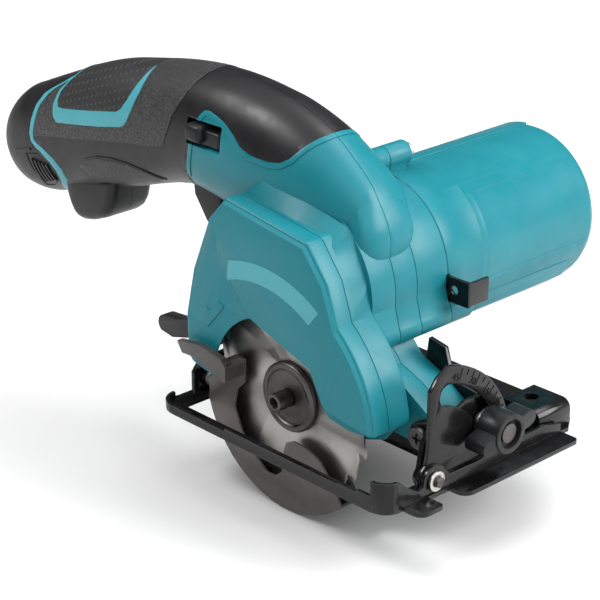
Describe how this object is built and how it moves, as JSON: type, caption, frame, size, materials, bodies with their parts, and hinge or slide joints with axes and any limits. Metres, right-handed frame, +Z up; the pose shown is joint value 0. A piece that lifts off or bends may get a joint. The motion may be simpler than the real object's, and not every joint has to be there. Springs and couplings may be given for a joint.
{
  "type": "cordless circular saw",
  "caption": "Compact battery circular saw: teal body, curved rubber grip, swinging blade guard, and a black steel sole that tilts for bevels and swings for depth.",
  "frame": {"origin": "on the underside of the sole, on its wide side, 40 mm from the middle plane of the blade and level with the blade axis along X", "axes": "+X is the cutting direction, +Y points from the blade towards the motor end, +Z is up"},
  "size_m": [0.2832, 0.1662, 0.1635],
  "materials": {
    "teal_plastic": "satin moulded, fine texture",
    "black_plastic": "moulded, satin",
    "grip_rubber": "stippled elastomer",
    "black_steel": "black e-coat",
    "guard_steel": "dark grey coat",
    "bright_steel": "ground and brushed",
    "dark_steel": "black oxide",
    "zinc_steel": "zinc plated",
    "copper": "turned",
    "magnet_ferrite": "sintered",
    "cell_wrap": "heat-shrink film"
  },
  "bodies": {
    "base": {"sole_plate": "black_steel", "bevel_quadrant": "black_steel", "fence_clamp": "black_steel", "front_tilt_pin": "zinc_steel", "front_pin_clip": "zinc_steel", "rear_tilt_pin": "zinc_steel", "rear_pin_clip": "zinc_steel"},
    "tilt_bracket": {"front_bracket": "black_steel", "rear_bracket": "black_steel", "bevel_stud": "dark_steel", "bevel_washer": "zinc_steel", "depth_pivot_screw": "black_steel"},
    "knob": {"bevel_knob": "black_plastic"},
    "saw": {"right_housing": "teal_plastic", "left_housing": "teal_plastic", "blade_case_cover": "teal_plastic", "motor_bracket": "teal_plastic", "motor_housing": "teal_plastic", "motor_screw_upper": "dark_steel", "motor_screw_lower": "dark_steel", "motor_can": "dark_steel", "field_magnet_front": "magnet_ferrite", "field_magnet_rear": "magnet_ferrite", "brush_front": "magnet_ferrite", "brush_rear": "magnet_ferrite", "motor_bearing_front": "bright_steel", "motor_bearing_rear": "bright_steel", "spindle_bearing": "bright_steel", "needle_bearing": "bright_steel", "guard_spring": "bright_steel", "trigger_switch": "black_plastic", "terminal_block": "black_plastic", "accessory_bracket": "black_steel", "depth_bolt": "dark_steel"},
    "rotor": {"motor_shaft": "bright_steel", "armature_core": "dark_steel", "commutator": "copper", "cooling_fan": "black_plastic", "motor_pinion": "bright_steel"},
    "idler": {"idler_gear": "bright_steel", "idler_pinion": "bright_steel", "idler_shaft": "bright_steel"},
    "blade": {"spindle": "bright_steel", "drive_gear": "bright_steel", "inner_flange": "dark_steel", "outer_flange": "dark_steel", "saw_blade": "bright_steel", "blade_bolt": "dark_steel"},
    "guard": {"lower_guard": "guard_steel"},
    "trigger": {"trigger": "black_plastic"},
    "lock_off": {"lock_off_button": "black_plastic"},
    "lever": {"depth_lever": "grip_rubber"},
    "battery": {"battery_case": "black_plastic", "battery_cell_1": "cell_wrap", "battery_cell_2": "cell_wrap", "battery_cell_3": "cell_wrap", "battery_terminals": "copper"},
    "release_right": {"release_button_right": "black_plastic"},
    "release_left": {"release_button_left": "black_plastic"}
  },
  "joints": [
    {"name": "bevel_tilt", "type": "hinge", "parent": "base", "child": "tilt_bracket", "pos_m": [0, -0.0364, 0.0065], "axis": [1, 0, 0], "range_deg": [0, 45]},
    {"name": "bevel_knob_turn", "type": "hinge", "parent": "tilt_bracket", "child": "knob", "pos_m": [0.078, -0.00717, 0.01952], "axis": [1, 0, 0], "range_deg": [0, 180]},
    {"name": "depth_swing", "type": "hinge", "parent": "tilt_bracket", "child": "saw", "pos_m": [0.0595, -0.02, 0.0174], "axis": [0, 1, 0], "range_deg": [0, 25.4]},
    {"name": "depth_lever_turn", "type": "hinge", "parent": "saw", "child": "lever", "pos_m": [-0.047, -0.023, 0.03], "axis": [0, 1, 0], "range_deg": [0, 55]},
    {"name": "motor_spin", "type": "hinge", "parent": "saw", "child": "rotor", "pos_m": [0, 0.04, 0.0628], "axis": [0, -1, 0], "continuous": true},
    {"name": "idler_spin", "type": "hinge", "parent": "saw", "child": "idler", "pos_m": [0, -0.023, 0.034], "axis": [0, -1, 0], "continuous": true},
    {"name": "blade_spin", "type": "hinge", "parent": "saw", "child": "blade", "pos_m": [0, -0.04, 0.017], "axis": [0, -1, 0], "continuous": true},
    {"name": "guard_swing", "type": "hinge", "parent": "saw", "child": "guard", "pos_m": [0, -0.04, 0.017], "axis": [0, 1, 0], "range_deg": [0, 85], "stiffness_Nm_per_rad": 0.03, "springref_deg": -28.65},
    {"name": "trigger_press", "type": "slide", "parent": "saw", "child": "trigger", "axis": [0.113, 0, 0.9936], "range_m": [0, 0.0035], "stiffness_N_per_m": 600, "springref_m": -0.003},
    {"name": "lock_off_press", "type": "slide", "parent": "saw", "child": "lock_off", "axis": [0, 1, 0], "range_m": [0, 0.0035], "stiffness_N_per_m": 400, "springref_m": -0.002},
    {"name": "battery_slide", "type": "slide", "parent": "saw", "child": "battery", "axis": [-0.9409, 0, -0.3387], "range_m": [0, 0.07]},
    {"name": "release_right_press", "type": "slide", "parent": "battery", "child": "release_right", "axis": [0, 1, 0], "range_m": [0, 0.002], "stiffness_N_per_m": 500, "springref_m": -0.001},
    {"name": "release_left_press", "type": "slide", "parent": "battery", "child": "release_left", "axis": [0, -1, 0], "range_m": [0, 0.002], "stiffness_N_per_m": 500, "springref_m": -0.001}
  ],
  "couplings": [
    {"joint": "idler_spin", "follows": "motor_spin", "ratio": -0.16129},
    {"joint": "blade_spin", "follows": "motor_spin", "ratio": 0.067204}
  ]
}
